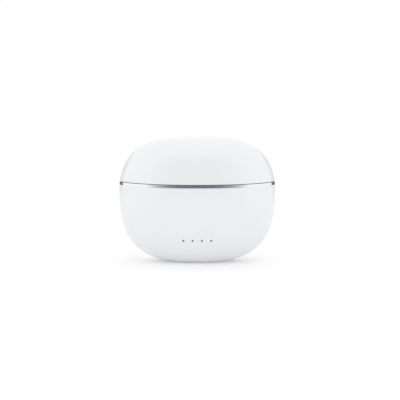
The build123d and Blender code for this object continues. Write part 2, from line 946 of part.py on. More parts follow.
with BuildPart() as hinge_lid_bracket:
    for start, end in (
        (-outer_knuckle_end, -centre_knuckle_half - knuckle_gap),
        (centre_knuckle_half + knuckle_gap, outer_knuckle_end),
    ):
        add(knuckle(start, end))
        add(slab((start, lid_leaf_y, strap_bottom), (end, axis_y, strap_top)))
    add(
        slab(
            (-outer_knuckle_end, lid_leaf_y, strap_bottom),
            (outer_knuckle_end, lid_leaf_back, axis_z + lid_leaf_rise),
        )
    )
    add(
        rod((-half_width, axis_y, axis_z), (1, 0, 0), pin_radius + pin_press, case_width),
        mode=Mode.SUBTRACT,
    )
    for side in sides:
        add(
            rod(
                (side * lid_hinge_screw_x, lid_leaf_y, lid_screw_z),
                (0, 1, 0),
                leaf_hole,
                lid_leaf_thickness,
            ),
            mode=Mode.SUBTRACT,
        )
write(hinge_lid_bracket.part, "hinge_lid_bracket")

pin_half = outer_knuckle_end - pin_chamfer
with BuildPart() as hinge_pin:
    add(rod((-pin_half, axis_y, axis_z), (1, 0, 0), pin_radius, 2 * pin_half))
    chamfer(hinge_pin.edges().filter_by(GeomType.CIRCLE), pin_chamfer)
write(hinge_pin.part, "hinge_pin")

write(
    group(
        screw_at((side * base_hinge_screw_x, base_leaf_y, base_screw_z), (0, -1, 0))
        for side in sides
    ),
    "hinge_base_screws",
)
write(
    group(
        screw_at((side * lid_hinge_screw_x, lid_leaf_y, lid_screw_z), (0, -1, 0))
        for side in sides
    ),
    "hinge_lid_screws",
)

# ---------------------------------------------------------------- lid
lid_inner_x = lid_half_width - lid_wall
lid_inner_depth = lid_half_depth - lid_wall
lid_ledge_share = lid_inner_share(liner_top + ledge_thickness)
liner_share = lid_inner_share(liner_top)

with BuildPart() as lid_shell:
    add(
        pebble(
            lid_half_width, lid_half_depth, lid_centre, case_height, lid_exponent, lid_edge
        )
    )
    add(
        pebble(
            lid_inner_x,
            lid_inner_depth,
            lid_centre,
            case_height - lid_wall,
            lid_exponent,
            lid_edge,
        ),
        mode=Mode.SUBTRACT,
    )
    # Ledge that the liner is glued under
    with BuildSketch(Plane.XY.offset(liner_top)):
        Ellipse(
            lid_inner_x * lid_ledge_share + lid_wall / 2,
            lid_inner_depth * lid_ledge_share + lid_wall / 2,
        )
        Ellipse(
            lid_inner_x * lid_ledge_share - ledge_width,
            lid_inner_depth * lid_ledge_share - ledge_width,
            mode=Mode.SUBTRACT,
        )
    extrude(amount=ledge_thickness)
    # Opening for the hinge at the back
    with BuildSketch(Plane(origin=(0, lid_leaf_y, 0), x_dir=(-1, 0, 0), z_dir=(0, 1, 0))):
        with Locations((0, (axis_z + hinge_swing) / 2)):
            RectangleRounded(2 * hinge_half, axis_z + hinge_swing, knuckle_radius / 2)
    extrude(amount=half_depth, mode=Mode.SUBTRACT)
    # Bosses for the hinge screws
    for side in sides:
        boss_x = side * lid_hinge_screw_x
        boss_y = lid_inner_y(lid_screw_z, boss_x) + lid_wall / 2
        add(rod((boss_x, lid_leaf_back, lid_screw_z), (0, 1, 0), post_radius, boss_y - lid_leaf_back))
        add(screw_hole((boss_x, lid_leaf_y, lid_screw_z), (0, -1, 0)), mode=Mode.SUBTRACT)
write(lid_shell.part, "lid_shell")

with BuildPart() as lid_liner:
    with BuildSketch(Plane.XY.offset(liner_bottom)):
        Ellipse(lid_inner_x * liner_share - fit_gap, lid_inner_depth * liner_share - fit_gap)
    extrude(amount=liner_thickness)
    for side in sides:
        add(
            pebble(
                recess_half_width + recess_wall,
                recess_half_depth + recess_wall,
                liner_bottom,
                liner_bottom + recess_height + recess_wall,
                recess_exponent,
                liner_bottom,
                side * well_x,
            )
        )
    for side in sides:
        add(
            pebble(
                recess_half_width,
                recess_half_depth,
                liner_bottom,
                liner_bottom + recess_height,
                recess_exponent,
                liner_bottom,
                side * well_x,
            ),
            mode=Mode.SUBTRACT,
        )
    add(
        slab(
            (-outer_knuckle_end - move_gap, bridge_y - move_gap, liner_bottom),
            (outer_knuckle_end + move_gap, half_depth, liner_top),
        ),
        mode=Mode.SUBTRACT,
    )
write(lid_liner.part, "lid_liner")
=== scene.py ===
"""The looks of a charging case for wireless earbuds, built around its fixed design frame.

The case is a white pebble in two shells. A polished band runs round the seam between
them, and four charge lights show low on the front. Inside are two wells with spring
contacts, a pairing button and a lined lid on a steel hinge.
"""

import logging
import math
from dataclasses import dataclass, field
from enum import Enum

import bpy
import numpy as np
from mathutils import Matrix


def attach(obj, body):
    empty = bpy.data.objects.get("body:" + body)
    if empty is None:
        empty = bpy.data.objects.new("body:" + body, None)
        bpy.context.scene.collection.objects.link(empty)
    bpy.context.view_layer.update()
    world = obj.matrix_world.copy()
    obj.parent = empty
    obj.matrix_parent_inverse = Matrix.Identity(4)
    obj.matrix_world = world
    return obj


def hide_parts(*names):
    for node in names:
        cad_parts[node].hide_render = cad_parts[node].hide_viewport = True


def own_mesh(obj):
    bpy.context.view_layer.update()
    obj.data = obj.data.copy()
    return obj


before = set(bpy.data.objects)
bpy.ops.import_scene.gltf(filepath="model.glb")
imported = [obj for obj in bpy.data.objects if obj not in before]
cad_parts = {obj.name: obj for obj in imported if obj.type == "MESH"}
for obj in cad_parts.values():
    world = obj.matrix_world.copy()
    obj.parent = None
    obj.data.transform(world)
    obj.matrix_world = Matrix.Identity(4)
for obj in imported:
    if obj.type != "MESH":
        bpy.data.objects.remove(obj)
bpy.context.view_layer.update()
MM = 0.001
log = logging.getLogger("earbuds_case")


# ------------------------------------------------------------------ surfaces
class Joining(Enum):
    """How one closed surface is worked into another."""

    CUT = "DIFFERENCE"
    ADD = "UNION"


def superellipse(
    half: tuple[float, float], centre: float, pole: float, power: float, cut: float, steps: int = 44
) -> np.ndarray:
    """Levels of a pebble, from the level cut to its pole.

    Each level is an ellipse that keeps the share s of the half sizes, and the share
    follows s^n + (rise / full rise)^n = 1, walked in even steps of the angle a with
    s = cos(a)^(2/n) and rise = full rise * sin(a)^(2/n).

    Args:
        half: Half width and half depth where the pebble is widest, in mm.
        centre: Level where it is widest.
        pole: Level of its tip, above or below the centre.
        power: The exponent n.
        cut: Level where the walk starts.
        steps: Number of levels.

    Returns:
        Rows of half width, half depth and level, in mm.
    """
    rise = pole - centre
    start = max((cut - centre) / rise, 0.0)
    angle = np.linspace(math.asin(start ** (power / 2)), math.pi / 2, steps)
    share = np.abs(np.cos(angle)) ** (2 / power)
    share[-1] = 0.0
    level = centre + rise * np.sin(angle) ** (2 / power)
    return np.column_stack((half[0] * share, half[1] * share, level))


def rounded(corners: list[tuple[float, float]], radius: float, closed: bool, steps: int = 6) -> np.ndarray:
    """Path along corners, each one rounded.

    A corner P becomes the curve (1-s)^2 A + 2 s (1-s) P + s^2 B, where A and B lie on
    the two sides, the radius away from P or a third of the side, whichever is less. One
    more point a little further out on each side keeps the shading of the flats flat.

    Args:
        corners: Points of the path.
        radius: Distance from a corner at which its curve starts.
        closed: Whether the last point leads back to the first.
        steps: Points of each curve.

    Returns:
        Points of the path.
    """
    points = np.array(corners, float)
    before = np.roll(points, 1, axis=0) - points
    after = np.roll(points, -1, axis=0) - points
    length_a = np.linalg.norm(before, axis=1)[:, None]
    length_b = np.linalg.norm(after, axis=1)[:, None]
    offset_a = before / length_a * np.minimum(radius, length_a / 3)
    offset_b = after / length_b * np.minimum(radius, length_b / 3)
    start = points + offset_a
    end = points + offset_b
    share = np.linspace(0.0, 1.0, steps)[None, :, None]
    curves = (
        (1 - share) ** 2 * start[:, None]
        + 2 * share * (1 - share) * points[:, None]
        + share**2 * end[:, None]
    )
    flat_a = points + 1.4 * offset_a
    flat_b = points + 1.4 * offset_b
    curves = np.concatenate((flat_a[:, None], curves, flat_b[:, None]), axis=1)
    if not closed:
        curves[0] = points[0]
        curves[-1] = points[-1]
    return curves.reshape(-1, points.shape[1])


def inset_rows(half: tuple[float, float], path: np.ndarray) -> np.ndarray:
    """Levels of an oval wall from a path of inset and level, in mm."""
    return np.column_stack((half[0] - path[:, 0], half[1] - path[:, 0], path[:, 1]))


def round_rows(path: np.ndarray) -> np.ndarray:
    """Levels of a round piece from a path of radius and level, in mm."""
    return np.column_stack((path[:, 0], path[:, 0], path[:, 1]))


def thinned(rows: np.ndarray) -> np.ndarray:
    """Rows without those that repeat the row before them."""
    step = np.linalg.norm(np.diff(rows, axis=0), axis=1)
    return rows[np.concatenate(([True], step > 1e-5))]


def new_piece(name: str, vertices: np.ndarray, faces: list) -> bpy.types.Object:
    """Object whose mesh holds vertices given in mm.

    Args:
        name: The piece's name.
        vertices: Rows of x, y and z in mm.
        faces: Index lists, anticlockwise seen from outside.

    Returns:
        The new object, at the origin.
    """
    mesh = bpy.data.meshes.new(name)
    mesh.from_pydata((vertices * MM).tolist(), [], faces)
    mesh.update()
    piece = bpy.data.objects.new(name, mesh)
    bpy.context.scene.collection.objects.link(piece)
    soften(piece)
    return piece


def soften(piece: bpy.types.Object, angle: float = 32.0) -> None:
    """Shade a piece smooth, except over edges that turn by more than the angle."""
    piece.data.polygons.foreach_set("use_smooth", [True] * len(piece.data.polygons))
    piece.data.set_sharp_from_angle(angle=math.radians(angle))


def grid_faces(rows: int, columns: int, loop: bool) -> list:
    """Four-sided faces of a grid that closes on itself along its columns.

    Args:
        rows: Number of rows.
        columns: Number of points in each row.
        loop: Whether the last row joins the first.

    Returns:
        Index lists of the faces.
    """
    row, column = np.meshgrid(
        np.arange(rows if loop else rows - 1), np.arange(columns), indexing="ij"
    )
    above = (row + 1) % rows
    beside = (column + 1) % columns
    corners = (
        row * columns + column,
        row * columns + beside,
        above * columns + beside,
        above * columns + column,
    )
    return np.stack(corners, axis=-1).reshape(-1, 4).tolist()


def turned(
    name: str, rows: np.ndarray, centre: tuple[float, float] = (0, 0), sides: int = 192
) -> bpy.types.Object:
    """Closed surface whose level i is the ellipse (cx + rx_i cos u, cy + ry_i sin u, z_i).

    Args:
        name: The piece's name.
        rows: Half width, half depth and level of each row. A first and last row of no
            width are poles; any other rows run round a closed section.
        centre: Where the ellipses are centred, in mm.
        sides: Number of points round a level.

    Returns:
        The new object.
    """
    rows = thinned(rows)
    poled = rows[0, 0] == 0.0
    body = rows[1:-1] if poled else rows
    angle = np.linspace(0, 2 * math.pi, sides, endpoint=False)
    points = np.stack(
        (
            centre[0] + body[:, :1] * np.cos(angle),
            centre[1] + body[:, 1:2] * np.sin(angle),
            np.repeat(body[:, 2:], sides, axis=1),
        ),
        axis=-1,
    ).reshape(-1, 3)
    faces = grid_faces(len(body), sides, loop=not poled)
    if poled:
        first, last = len(points), len(points) + 1
        here = np.arange(sides)
        beside = (here + 1) % sides
        top = (len(body) - 1) * sides
        poles = np.array([[*centre, rows[0, 2]], [*centre, rows[-1, 2]]])
        points = np.concatenate((points, poles))
        faces += np.column_stack((np.full(sides, first), beside, here)).tolist()
        faces += np.column_stack((top + here, top + beside, np.full(sides, last))).tolist()
    return new_piece(name, points, faces)


def prism(name: str, outline: np.ndarray, near: np.ndarray, far: np.ndarray) -> bpy.types.Object:
    """Closed surface that carries a flat outline from one end to the other.

    Args:
        name: The piece's name.
        outline: Offsets of the outline's points, anticlockwise seen against the way
            it is carried, in mm.
        near: Where it starts.
        far: Where it ends.

    Returns:
        The new object.
    """
    count = len(outline)
    points = np.concatenate((outline + near, outline + far))
    faces = grid_faces(2, count, loop=False)
    faces.append(list(range(count - 1, -1, -1)))
    faces.append(list(range(count, 2 * count)))
    return new_piece(name, points, faces)


def slot_outline(width: float, height: float, steps: int = 20) -> np.ndarray:
    """Outline in X and Z of a slot: two half circles of the height, joined by straights."""
    angle = np.linspace(-math.pi / 2, math.pi / 2, steps)
    radius = height / 2
    reach = width / 2 - radius
    right = np.column_stack((reach + radius * np.cos(angle), radius * np.sin(angle)))
    both = np.concatenate((right, -right))
    return np.column_stack((both[:, 0], np.zeros(len(both)), both[:, 1]))


def tube(name: str, path: np.ndarray, radius: float, sides: int = 10) -> bpy.types.Object:
    """Closed tube along a path.

    Each ring is path + radius (n cos u + b sin u), where n is square to the path and
    to Z, and b is square to both n and the path.

    Args:
        name: The piece's name.
        path: Points of the centre line in mm.
        radius: The tube's radius in mm.
        sides: Points round the tube.

    Returns:
        The new object.
    """
    along = np.gradient(path, axis=0)
    along /= np.linalg.norm(along, axis=1)[:, None]
    across = np.cross(along, np.array([0.0, 0.0, 1.0]))
    across /= np.linalg.norm(across, axis=1)[:, None]
    upward = np.cross(across, along)
    angle = np.linspace(0, 2 * math.pi, sides, endpoint=False)
    rings = (
        path[:, None]
        + radius * across[:, None] * np.cos(angle)[None, :, None]
        + radius * upward[:, None] * np.sin(angle)[None, :, None]
    )
    faces = grid_faces(len(path), sides, loop=False)
    faces = [face[::-1] for face in faces]
    faces.append(list(range(sides)))
    last = (len(path) - 1) * sides
    faces.append(list(range(last + sides - 1, last - 1, -1)))
    return new_piece(name, rings.reshape(-1, 3), faces)


def merged(name: str, parts: list[bpy.types.Object]) -> bpy.types.Object:
    """One piece that holds the surfaces of several, which are removed."""
    vertices = []
    faces = []
    total = 0
    for part in parts:
        mesh = part.data
        points = np.empty(len(mesh.vertices) * 3)
        mesh.vertices.foreach_get("co", points)
        vertices.append(points.reshape(-1, 3) / MM)
        faces += [[total + index for index in face.vertices] for face in mesh.polygons]
        total += len(mesh.vertices)
        bpy.data.objects.remove(part)
    return new_piece(name, np.concatenate(vertices), faces)


def work_in(piece: bpy.types.Object, tool: bpy.types.Object, joining: Joining) -> None:
    """Cut a closed surface out of a piece, or add it, and remove the tool."""
    step = piece.modifiers.new(joining.name, "BOOLEAN")
    step.object = tool
    step.operation = joining.value
    step.solver = "EXACT"
    graph = bpy.context.evaluated_depsgraph_get()
    result = bpy.data.meshes.new_from_object(piece.evaluated_get(graph))
    piece.modifiers.remove(step)
    piece.data = result
    bpy.data.objects.remove(tool)
    soften(piece)


# ------------------------------------------------------------------ shader maths
class Amount:
    """A number that varies over a surface. Python's operators add Math nodes to it."""

    def __init__(self, graph: "Graph", socket: bpy.types.NodeSocket) -> None:
        """Keep the graph and the socket that gives the number."""
        self.graph = graph
        self.socket = socket

    def _math(self, operation: str, first: object, second: object) -> "Amount":
        """Result of one Math node on two numbers or amounts."""
        node = self.graph.node("ShaderNodeMath", {"operation": operation}, {0: first, 1: second})
        return Amount(self.graph, node.outputs[0])

    def __add__(self, other: object) -> "Amount":
        """Sum."""
        return self._math("ADD", self, other)

    def __mul__(self, other: object) -> "Amount":
        """Product."""
        return self._math("MULTIPLY", self, other)

    __radd__ = __add__
    __rmul__ = __mul__

    def __abs__(self) -> "Amount":
        """Size without its sign."""
        return self._math("ABSOLUTE", self, 0.0)

    def __pow__(self, power: float) -> "Amount":
        """Power."""
        return self._math("POWER", self, power)

    def over(self, edge: float) -> "Amount":
        """One where the amount is over the edge, zero elsewhere."""
        return self._math("GREATER_THAN", self, edge)


class Graph:
    """The nodes of one material."""

    def __init__(self, name: str) -> None:
        """Start a material with an empty surface."""
        self.material = bpy.data.materials.new(name)
        self.material.use_nodes = True
        self.tree = self.material.node_tree
        self.surface = self.tree.nodes["Principled BSDF"]

    def node(self, kind: str, settings: dict, inputs: dict) -> bpy.types.Node:
        """Add a node.

        Args:
            kind: The node's type.
            settings: Its properties, set before its sockets.
            inputs: Socket name or number to a value, a socket or an amount.

        Returns:
            The new node.
        """
        node = self.tree.nodes.new(kind)
        for key, value in settings.items():
            setattr(node, key, value)
        for key, value in inputs.items():
            self.feed(node.inputs[key], value)
        return node

    def feed(self, socket: bpy.types.NodeSocket, value: object) -> None:
        """Set a socket to a value, or link it to a socket or an amount."""
        source = value.socket if isinstance(value, Amount) else value
        if isinstance(source, bpy.types.NodeSocket):
            self.tree.links.new(source, socket)
        else:
            socket.default_value = source

    def place(self, stretch: tuple[float, float, float] = (1, 1, 1)) -> bpy.types.NodeSocket:
        """Place on the object, each axis stretched."""
        where = self.node("ShaderNodeTexCoord", {}, {})
        scaled = self.node(
            "ShaderNodeVectorMath",
            {"operation": "MULTIPLY"},
            {0: where.outputs["Object"], 1: stretch},
        )
        return scaled.outputs[0]

    def along_x(self) -> Amount:
        """Distance along X on the object, in metres."""
        node = self.node("ShaderNodeSeparateXYZ", {}, {"Vector": self.place()})
        return Amount(self, node.outputs["X"])

    def noise(self, scale: float, detail: float, stretch: tuple[float, float, float] = (1, 1, 1)) -> Amount:
        """Cloudy noise about one half."""
        node = self.node(
            "ShaderNodeTexNoise",
            {},
            {"Vector": self.place(stretch), "Scale": scale, "Detail": detail},
        )
        return Amount(self, node.outputs[0])

    def cells(self, scale: float) -> Amount:
        """Distance to the nearest of many scattered points."""
        node = self.node("ShaderNodeTexVoronoi", {}, {"Vector": self.place(), "Scale": scale})
        return Amount(self, node.outputs["Distance"])

    def bands(self, scale: float, warp: float) -> Amount:
        """Wavy bands."""
        node = self.node(
            "ShaderNodeTexWave",
            {"bands_direction": "DIAGONAL"},
            {"Vector": self.place(), "Scale": scale, "Distortion": warp, "Detail": 0.0},
        )
        return Amount(self, node.outputs["Fac"])

    def mix(self, share: Amount, first: tuple, second: tuple) -> bpy.types.NodeSocket:
        """Colour between two colours."""
        node = self.node(
            "ShaderNodeMix",
            {"data_type": "RGBA"},
            {"Factor": share, "A": (*first, 1.0), "B": (*second, 1.0)},
        )
        return node.outputs["Result"]


class Texture(Enum):
    """What the surface of a finish is like close up."""

    MOULDED = "fine orange peel of a polished mould"
    SPARKED = "even grain of an eroded mould"
    BRUSHED = "straight scratches along X"
    POLISHED = "faint haze and a few hairlines"
    TRACKED = "copper tracks under a solder mask"
    CREASED = "foil with soft creases"


@dataclass(frozen=True)
class Finish:
    """A procedural finish: a colour, how it shines and what it is like close up."""

    name: str
    colour: tuple[float, float, float]
    texture: Texture
    roughness: float
    metallic: float = 0.0
    coat: float = 0.0
    second: tuple[float, float, float] | None = None
    grain: float = 900.0
    relief: float = 0.002

    def pattern(self, graph: Graph) -> Amount:
        """The finish's own pattern, from zero to one."""
        if self.texture is Texture.BRUSHED:
            return graph.noise(self.grain, 2.0, (0.04, 1.0, 1.0))
        if self.texture is Texture.POLISHED:
            return graph.noise(self.grain, 3.0, (0.3, 1.0, 0.3))
        if self.texture is Texture.TRACKED:
            return graph.bands(self.grain, 3.0).over(0.72)
        if self.texture is Texture.CREASED:
            return graph.cells(self.grain)
        return graph.noise(self.grain, 2.0 if self.texture is Texture.MOULDED else 5.0)

    def material(self) -> bpy.types.Material:
        """Build the finish's material, once.

        Returns:
            The material, which later calls return again.
        """
        name = f"{self.name}_finish"
        if name in bpy.data.materials:
            return bpy.data.materials[name]
        graph = Graph(name)
        surface = graph.surface
        pattern = self.pattern(graph)
        cloud = graph.noise(60.0, 3.0)
        shade = tuple(0.965 * part for part in self.colour)
        share = pattern * 0.35 + cloud * 0.65
        if self.second is not None:
            shade = self.second
            share = pattern
        graph.feed(surface.inputs["Base Color"], graph.mix(share, self.colour, shade))
        graph.feed(
            surface.inputs["Roughness"],
            pattern * (0.14 * self.roughness) + cloud * (0.2 * self.roughness) + 0.83 * self.roughness,
        )
        bump = graph.node(
            "ShaderNodeBump", {}, {"Strength": 0.35, "Distance": self.relief * MM, "Height": pattern}
        )
        graph.feed(surface.inputs["Normal"], bump.outputs[0])
        surface.inputs["Metallic"].default_value = self.metallic
        surface.inputs["Coat Weight"].default_value = self.coat
        surface.inputs["Coat Roughness"].default_value = 0.08
        return graph.material


SHELL_WHITE = Finish(
    "shell_white", (0.812, 0.818, 0.832), Texture.MOULDED, 0.30,
    coat=0.35, grain=700.0, relief=0.0015,
)
TRAY_WHITE = Finish(
    "tray_white", (0.80, 0.80, 0.81), Texture.MOULDED, 0.26,
    coat=0.3, grain=800.0, relief=0.002,
)
BUTTON_WHITE = Finish("button_white", (0.74, 0.74, 0.76), Texture.SPARKED, 0.42, grain=2500.0, relief=0.004)
RING_CHROME = Finish(
    "ring_chrome", (0.87, 0.89, 0.93), Texture.POLISHED, 0.09,
    metallic=1.0, grain=1500.0, relief=0.0006,
)
RUBBER = Finish("gasket_rubber", (0.05, 0.05, 0.052), Texture.SPARKED, 0.75, grain=3000.0, relief=0.01)
BOARD = Finish(
    "board_green", (0.012, 0.07, 0.035), Texture.TRACKED, 0.35, coat=0.4,
    second=(0.03, 0.14, 0.06), grain=260.0, relief=0.02,
)
CHIP = Finish("chip_black", (0.012, 0.012, 0.014), Texture.SPARKED, 0.5, grain=4000.0, relief=0.006)
PLUG = Finish("plug_ivory", (0.62, 0.57, 0.45), Texture.SPARKED, 0.45, grain=2500.0, relief=0.005)
FRAME_GREY = Finish("frame_grey", (0.10, 0.105, 0.115), Texture.SPARKED, 0.5, grain=2500.0, relief=0.006)
TAPE = Finish("tape_black", (0.02, 0.02, 0.02), Texture.SPARKED, 0.85, grain=5000.0, relief=0.03)
FOIL = Finish(
    "battery_silver", (0.55, 0.56, 0.58), Texture.CREASED, 0.32,
    metallic=0.9, grain=500.0, relief=0.05,
)
LEAD_RED = Finish("lead_red", (0.42, 0.02, 0.015), Texture.MOULDED, 0.4, grain=1500.0)
FLEX = Finish(
    "flex_amber", (0.35, 0.14, 0.02), Texture.TRACKED, 0.28, coat=0.4,
    second=(0.5, 0.24, 0.05), grain=420.0, relief=0.01,
)
LED = Finish("led_lens", (0.75, 0.72, 0.5), Texture.MOULDED, 0.2, coat=0.5, grain=2000.0)
GUIDE = Finish("guide_smoke", (0.055, 0.058, 0.062), Texture.MOULDED, 0.25, coat=0.4, grain=2000.0)
SOCKET = Finish(
    "socket_steel", (0.48, 0.48, 0.50), Texture.BRUSHED, 0.28,
    metallic=1.0, grain=3000.0, relief=0.004,
)
SCREW = Finish(
    "screw_steel", (0.30, 0.30, 0.32), Texture.BRUSHED, 0.34,
    metallic=1.0, grain=4000.0, relief=0.004,
)
HINGE = Finish(
    "hinge_steel", (0.56, 0.57, 0.59), Texture.BRUSHED, 0.24,
    metallic=1.0, grain=2600.0, relief=0.003,
)
SPRING = Finish("spring_steel", (0.45, 0.45, 0.47), Texture.POLISHED, 0.25, metallic=1.0, grain=3000.0)
NICKEL = Finish("magnet_nickel", (0.52, 0.52, 0.51), Texture.POLISHED, 0.2, metallic=1.0, grain=1200.0)
GOLD = Finish("contact_gold", (0.80, 0.53, 0.19), Texture.POLISHED, 0.2, metallic=1.0, grain=2500.0)


def finish_piece(piece: bpy.types.Object, finish: Finish, body: str, slot: str, *nodes: str) -> None:
    """Give a new piece its finish, its body and the CAD nodes it stands for.

    Args:
        piece: The piece.
        finish: What it is dressed in.
        body: The CAD body that it rides on.
        slot: The record's material slot, which is not used.
        nodes: CAD nodes that it replaces.
    """
    piece.data.materials.clear()
    piece.data.materials.append(finish.material())
    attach(piece, body)
    if nodes:
        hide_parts(*nodes)
    log.info("%s: %d faces on %s", piece.name, len(piece.data.polygons), body)


def dress(node: str, finish: Finish) -> None:
    """Give a carried-over CAD node its finish."""
    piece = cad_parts[node]
    piece.data.materials.clear()
    piece.data.materials.append(finish.material())
    log.info("%s dressed in %s", node, finish.name)


# ------------------------------------------------------------------ sub-assemblies
@dataclass
class Form:
    """Levels and half sizes that the shells share, in mm."""

    half: tuple[float, float] = (30.0, 13.5)
    rim: float = 30.0
    ring_top: float = 31.2
    lid_edge: float = 31.4
    height: float = 48.5
    belly: float = 27.6
    foot_pole: float = -0.4
    base_power: float = 2.8
    lid_half: tuple[float, float] = (30.39, 13.6755)
    lid_centre: float = 20.0
    lid_power: float = 3.12
    base_wall: float = 1.4
    lid_wall: float = 1.3
    deck_top: float = 30.9
    deck_thickness: float = 1.2
    liner_bottom: float = 31.65
    well_x: float = 14.0
    edge: float = 0.05

    def inner(self, half: tuple[float, float], wall: float) -> tuple[float, float]:
        """Half sizes less a wall."""
        return (half[0] - wall, half[1] - wall)

    def share(self, level: float, centre: float, pole: float, power: float) -> float:
        """Share of its half sizes that a pebble keeps at a level."""
        return (1 - ((level - centre) / (pole - centre)) ** power) ** (1 / power)


@dataclass
class BaseShell:
    """The lower shell: a cup with a flat foot, a rabbet, a ledge, posts and openings."""

    form: Form
    floor: float = 1.4
    lip: float = 0.75
    rabbet: float = 1.3
    ledge: tuple[float, float, float] = (24.0, 25.0, 2.5)
    socket: tuple[float, float, float] = (9.28, 3.6, 10.23)
    light_level: float = 9.6
    light_pitch: float = 3.54
    light_radius: float = 0.37
    cut_depth: float = 8.0
    post_radius: float = 1.6
    posts: tuple[tuple[float, float], ...] = ((-9.0, 7.8), (9.0, 7.8))
    post_bottom: float = 2.2
    post_round: float = 0.15
    screw_hole: float = 0.75
    screw_depth: float = 4.9
    bosses: tuple[float, ...] = (-6.0, 6.0)
    boss_level: float = 25.8
    boss_ends: tuple[float, float] = (10.2, 12.0)

    def rows(self) -> np.ndarray:
        """Levels from the foot's centre, up the outside, over the rim and down inside."""
        form = self.form
        outside = superellipse(form.half, form.belly, form.foot_pole, form.base_power, form.belly, 96)
        outside = outside[outside[:, 2] > 0.0][::-1]
        foot = form.share(0.0, form.belly, form.foot_pole, form.base_power)
        foot_half = (form.half[0] * foot, form.half[1] * foot)
        foot_rows = np.array(
            [[0, 0, 0], [foot_half[0] * 0.5, foot_half[1] * 0.5, 0], [*foot_half, 0]], float
        )
        low, high, ledge_inset = self.ledge
        below = form.rim - self.rabbet
        rim = rounded(
            [
                (0.0, form.belly),
                (0.0, form.rim),
                (self.lip, form.rim),
                (self.lip, below),
                (form.base_wall, below),
                (form.base_wall, high),
                (ledge_inset, high),
                (ledge_inset, low),
                (form.base_wall, low),
            ],
            form.edge,
            closed=False,
        )
        inside = superellipse(
            form.inner(form.half, form.base_wall), low, self.floor, form.base_power, low, 64
        )
        return np.concatenate((foot_rows, outside, inset_rows(form.half, rim), inside))

    def build(self) -> None:
        """Turn the shell, open its socket and lights, and add its posts."""
        shell = turned("case_base", self.rows(), sides=288)
        width, height, level = self.socket
        slot = slot_outline(width, height, 24)
        near = np.array([0.0, self.cut_depth, level])
        far = np.array([0.0, self.form.half[1] + 1.0, level])
        tools = [prism("socket_cut", slot[::-1], near, far)]
        for place in range(4):
            x = self.light_pitch * (place - 1.5)
            hole = slot_outline(2 * self.light_radius + 1e-4, 2 * self.light_radius, 18)
            near = np.array([x, -self.cut_depth, self.light_level])
            far = np.array([x, -self.form.half[1] - 1.0, self.light_level])
            tools.append(prism("light_cut", hole, near, far))
        work_in(shell, merged("cuts", tools), Joining.CUT)
        finish_piece(shell, SHELL_WHITE, "base", "shell_white", "base_shell")
        posts = [self.post(x, top) for x, top in self.posts] + [self.boss(x) for x in self.bosses]
        finish_piece(merged("case_base_posts", posts), SHELL_WHITE, "base", "shell_white")

    def post(self, x: float, top: float) -> bpy.types.Object:
        """Upright post from the floor, with a screw hole."""
        hole, low = self.screw_hole, self.post_bottom
        corners = [(hole, top), (hole, self.screw_depth), (hole + 0.01, low)]
        corners += [(self.post_radius, low), (self.post_radius, top)]
        path = rounded(corners, self.post_round, closed=True)
        return turned("post", round_rows(path), (x, 0.0), 40)

    def boss(self, x: float) -> bpy.types.Object:
        """Boss from the back wall towards the hinge's leaf."""
        angle = np.linspace(0, 2 * math.pi, 40, endpoint=False)
        outline = np.column_stack((np.cos(angle), np.zeros(40), np.sin(angle))) * self.post_radius
        near, far = (np.array([x, y, self.boss_level]) for y in self.boss_ends)
        return prism("boss", outline[::-1], near, far)


@dataclass
class SeamRing:
    """The polished band that sits on the base shell's rim."""

    form: Form
    skirt: float = 1.2
    lip: float = 0.8

    def build(self) -> None:
        """Run the band's section round the rim."""
        form = self.form
        section = rounded(
            [
                (0.0, form.rim + 0.01),
                (0.0, form.ring_top),
                (form.base_wall, form.ring_top),
                (form.base_wall, form.rim - self.skirt),
                (self.lip, form.rim - self.skirt),
                (self.lip, form.rim + 0.01),
            ],
            form.edge,
            closed=True,
        )
        ring = turned("seam_ring", inset_rows(form.half, section), sides=288)
        finish_piece(ring, RING_CHROME, "base", "ring_chrome", "trim_ring")


def notch_block(half: float, front: float, low: float, high: float) -> bpy.types.Object:
    """Upright block with rounded edges that opens the back of a plate for the hinge.

    Args:
        half: Half its width, in mm.
        front: Where it starts along Y. It ends behind the case.
        low: Its lower level.
        high: Its upper level.

    Returns:
        The new object.
    """
    back = 14.0
    corners = rounded([(-half, front), (half, front), (half, back), (-half, back)], 0.5, closed=True)
    outline = np.column_stack((corners, np.zeros(len(corners))))
    return prism("notch", outline, np.array([0, 0, low]), np.array([0, 0, high]))


